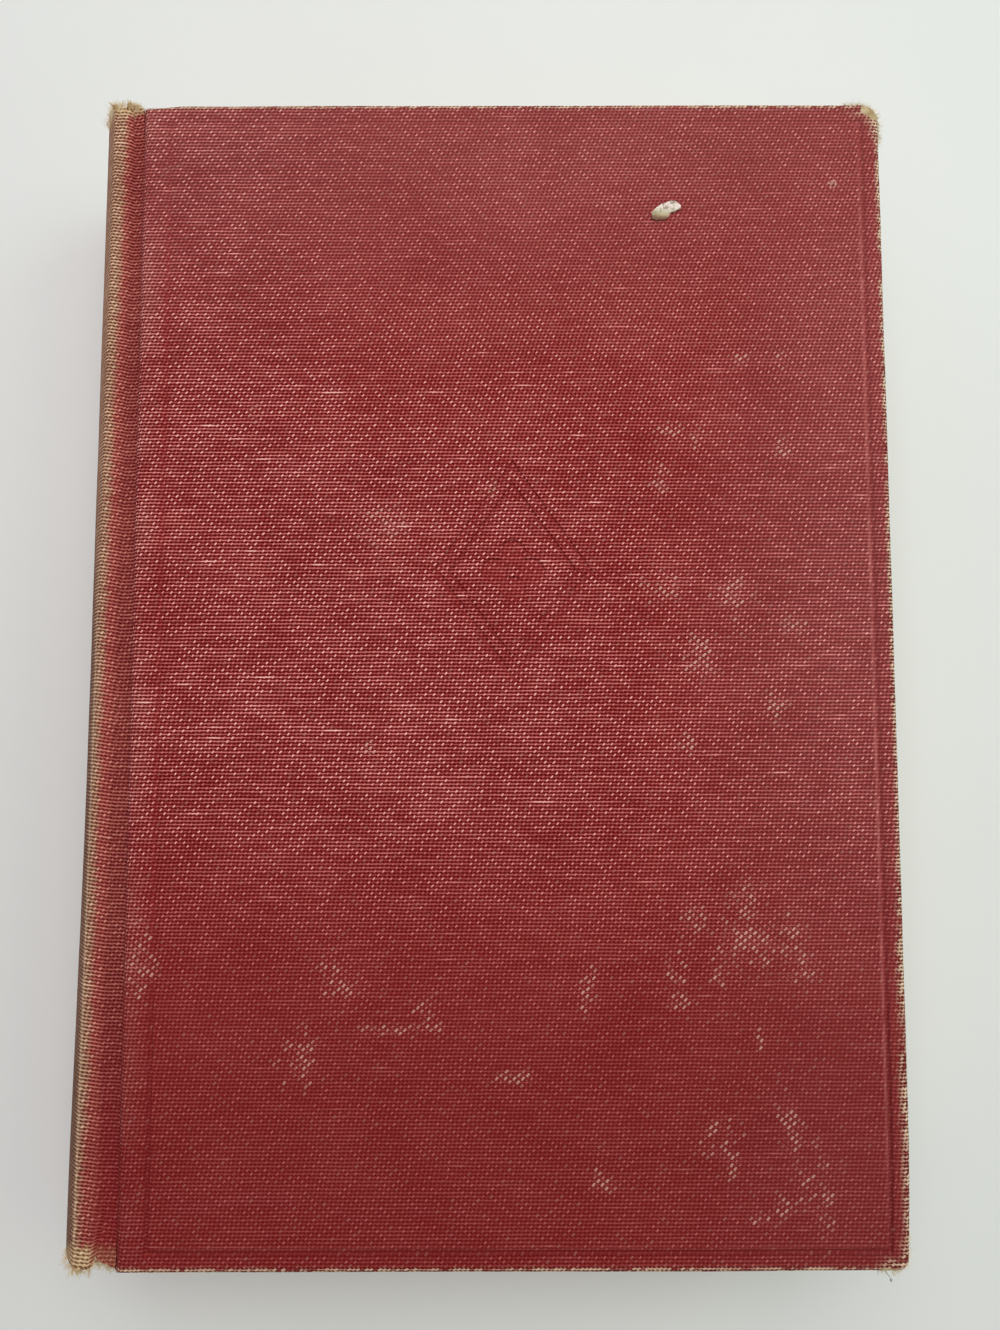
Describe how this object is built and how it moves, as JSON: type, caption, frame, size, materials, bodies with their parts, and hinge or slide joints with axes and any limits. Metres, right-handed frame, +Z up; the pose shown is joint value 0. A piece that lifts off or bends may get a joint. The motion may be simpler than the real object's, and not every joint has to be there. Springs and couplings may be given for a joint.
{
  "type": "hardback book",
  "caption": "Cloth-covered hardback book with a rounded spine, grooved joints and covers that open along the joint lines.",
  "frame": {"origin": "middle of the underside, on the surface that the book lies on", "axes": "+X from spine to fore-edge, +Y from tail to head, +Z up through the front cover"},
  "size_m": [0.1396, 0.195, 0.0349],
  "materials": {
    "book_cloth": "coarse plain weave, faded and worn at the edges",
    "grey_board": "matt",
    "endpaper": "matt, aged",
    "pages": "matt, aged",
    "inlay_card": "matt",
    "gauze": "open weave, glued",
    "lining_paper": "matt",
    "band_thread": "sewn thread"
  },
  "bodies": {
    "pages": {"text_block": "pages", "front_flyleaf": "endpaper", "back_flyleaf": "endpaper", "mull": "gauze", "spine_lining": "lining_paper", "head_band": "band_thread", "tail_band": "band_thread", "spine_inlay": "inlay_card", "spine_cloth": "book_cloth"},
    "front_cover": {"front_board": "grey_board", "front_cloth": "book_cloth", "front_pastedown": "endpaper"},
    "back_cover": {"back_board": "grey_board", "back_cloth": "book_cloth", "back_pastedown": "endpaper"}
  },
  "joints": [
    {"name": "front_joint", "type": "hinge", "parent": "pages", "child": "front_cover", "pos_m": [-0.05887, 0, 0.03452], "axis": [0, -1, 0], "range_deg": [0, 180]},
    {"name": "back_joint", "type": "hinge", "parent": "pages", "child": "back_cover", "pos_m": [-0.05887, 0, 0.0004], "axis": [0, 1, 0], "range_deg": [0, 180]}
  ]
}
